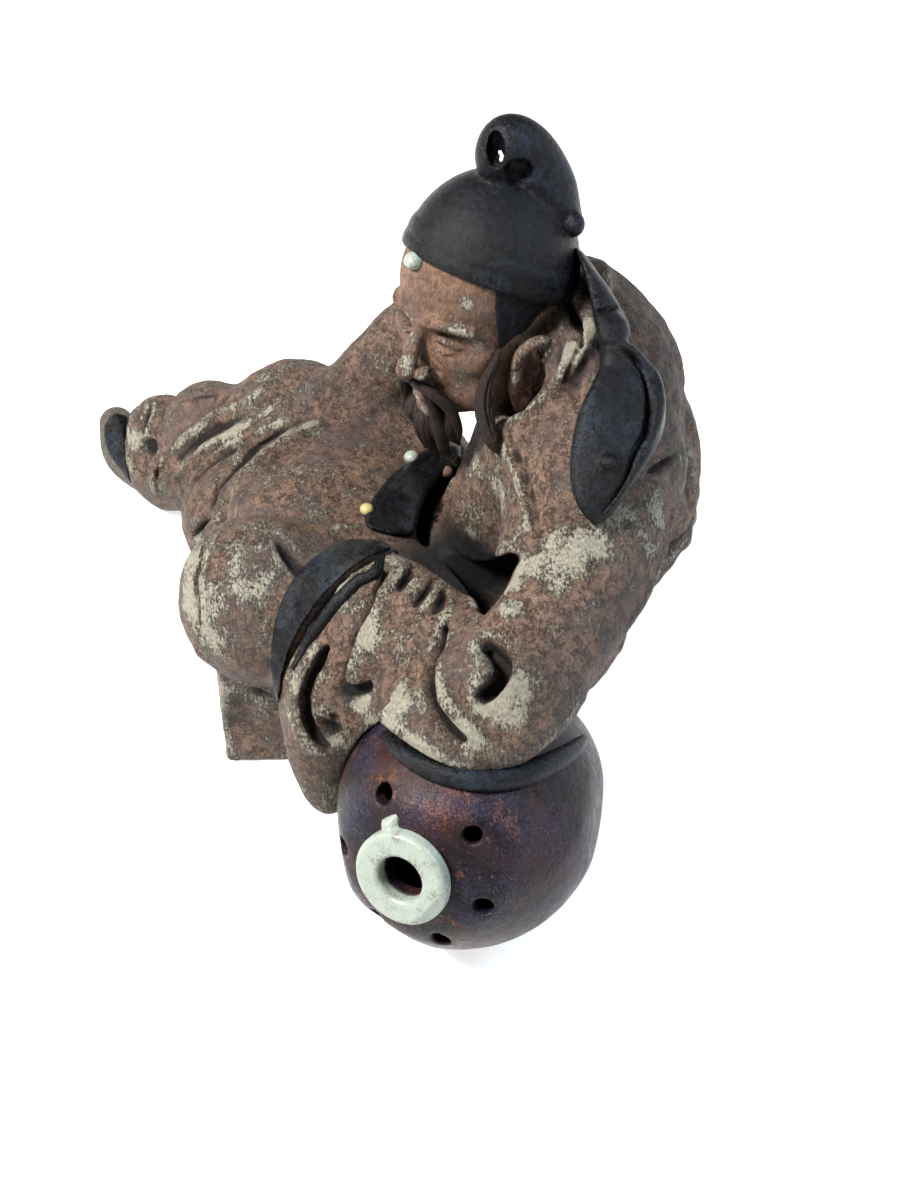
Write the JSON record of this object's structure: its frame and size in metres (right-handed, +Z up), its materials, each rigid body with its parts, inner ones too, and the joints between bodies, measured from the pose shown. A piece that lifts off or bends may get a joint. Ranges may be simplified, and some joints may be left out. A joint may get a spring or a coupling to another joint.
{
  "type": "terracotta sage figure",
  "caption": "Seated robed sage with a cap and a beard, leaning an elbow on a wine jar that lies on its side.",
  "frame": {"origin": "on the standing plane, in the middle of the seat's underside", "axes": "+Z up, the figure faces -Y, its left side and the wine jar are toward +X"},
  "size_m": [0.2304, 0.1923, 0.1831],
  "materials": {
    "robe_clay": "matt fired clay with rubbed pale slip",
    "skin_clay": "matt ochre fired clay",
    "dark_glaze": "glossy blue-black glaze",
    "cream_glaze": "glossy cream glaze",
    "jar_glaze": "half-glossy purple-brown glaze"
  },
  "bodies": {
    "root": {"sage": "robe_clay", "wine_jar": "jar_glaze"}
  },
  "joints": []
}
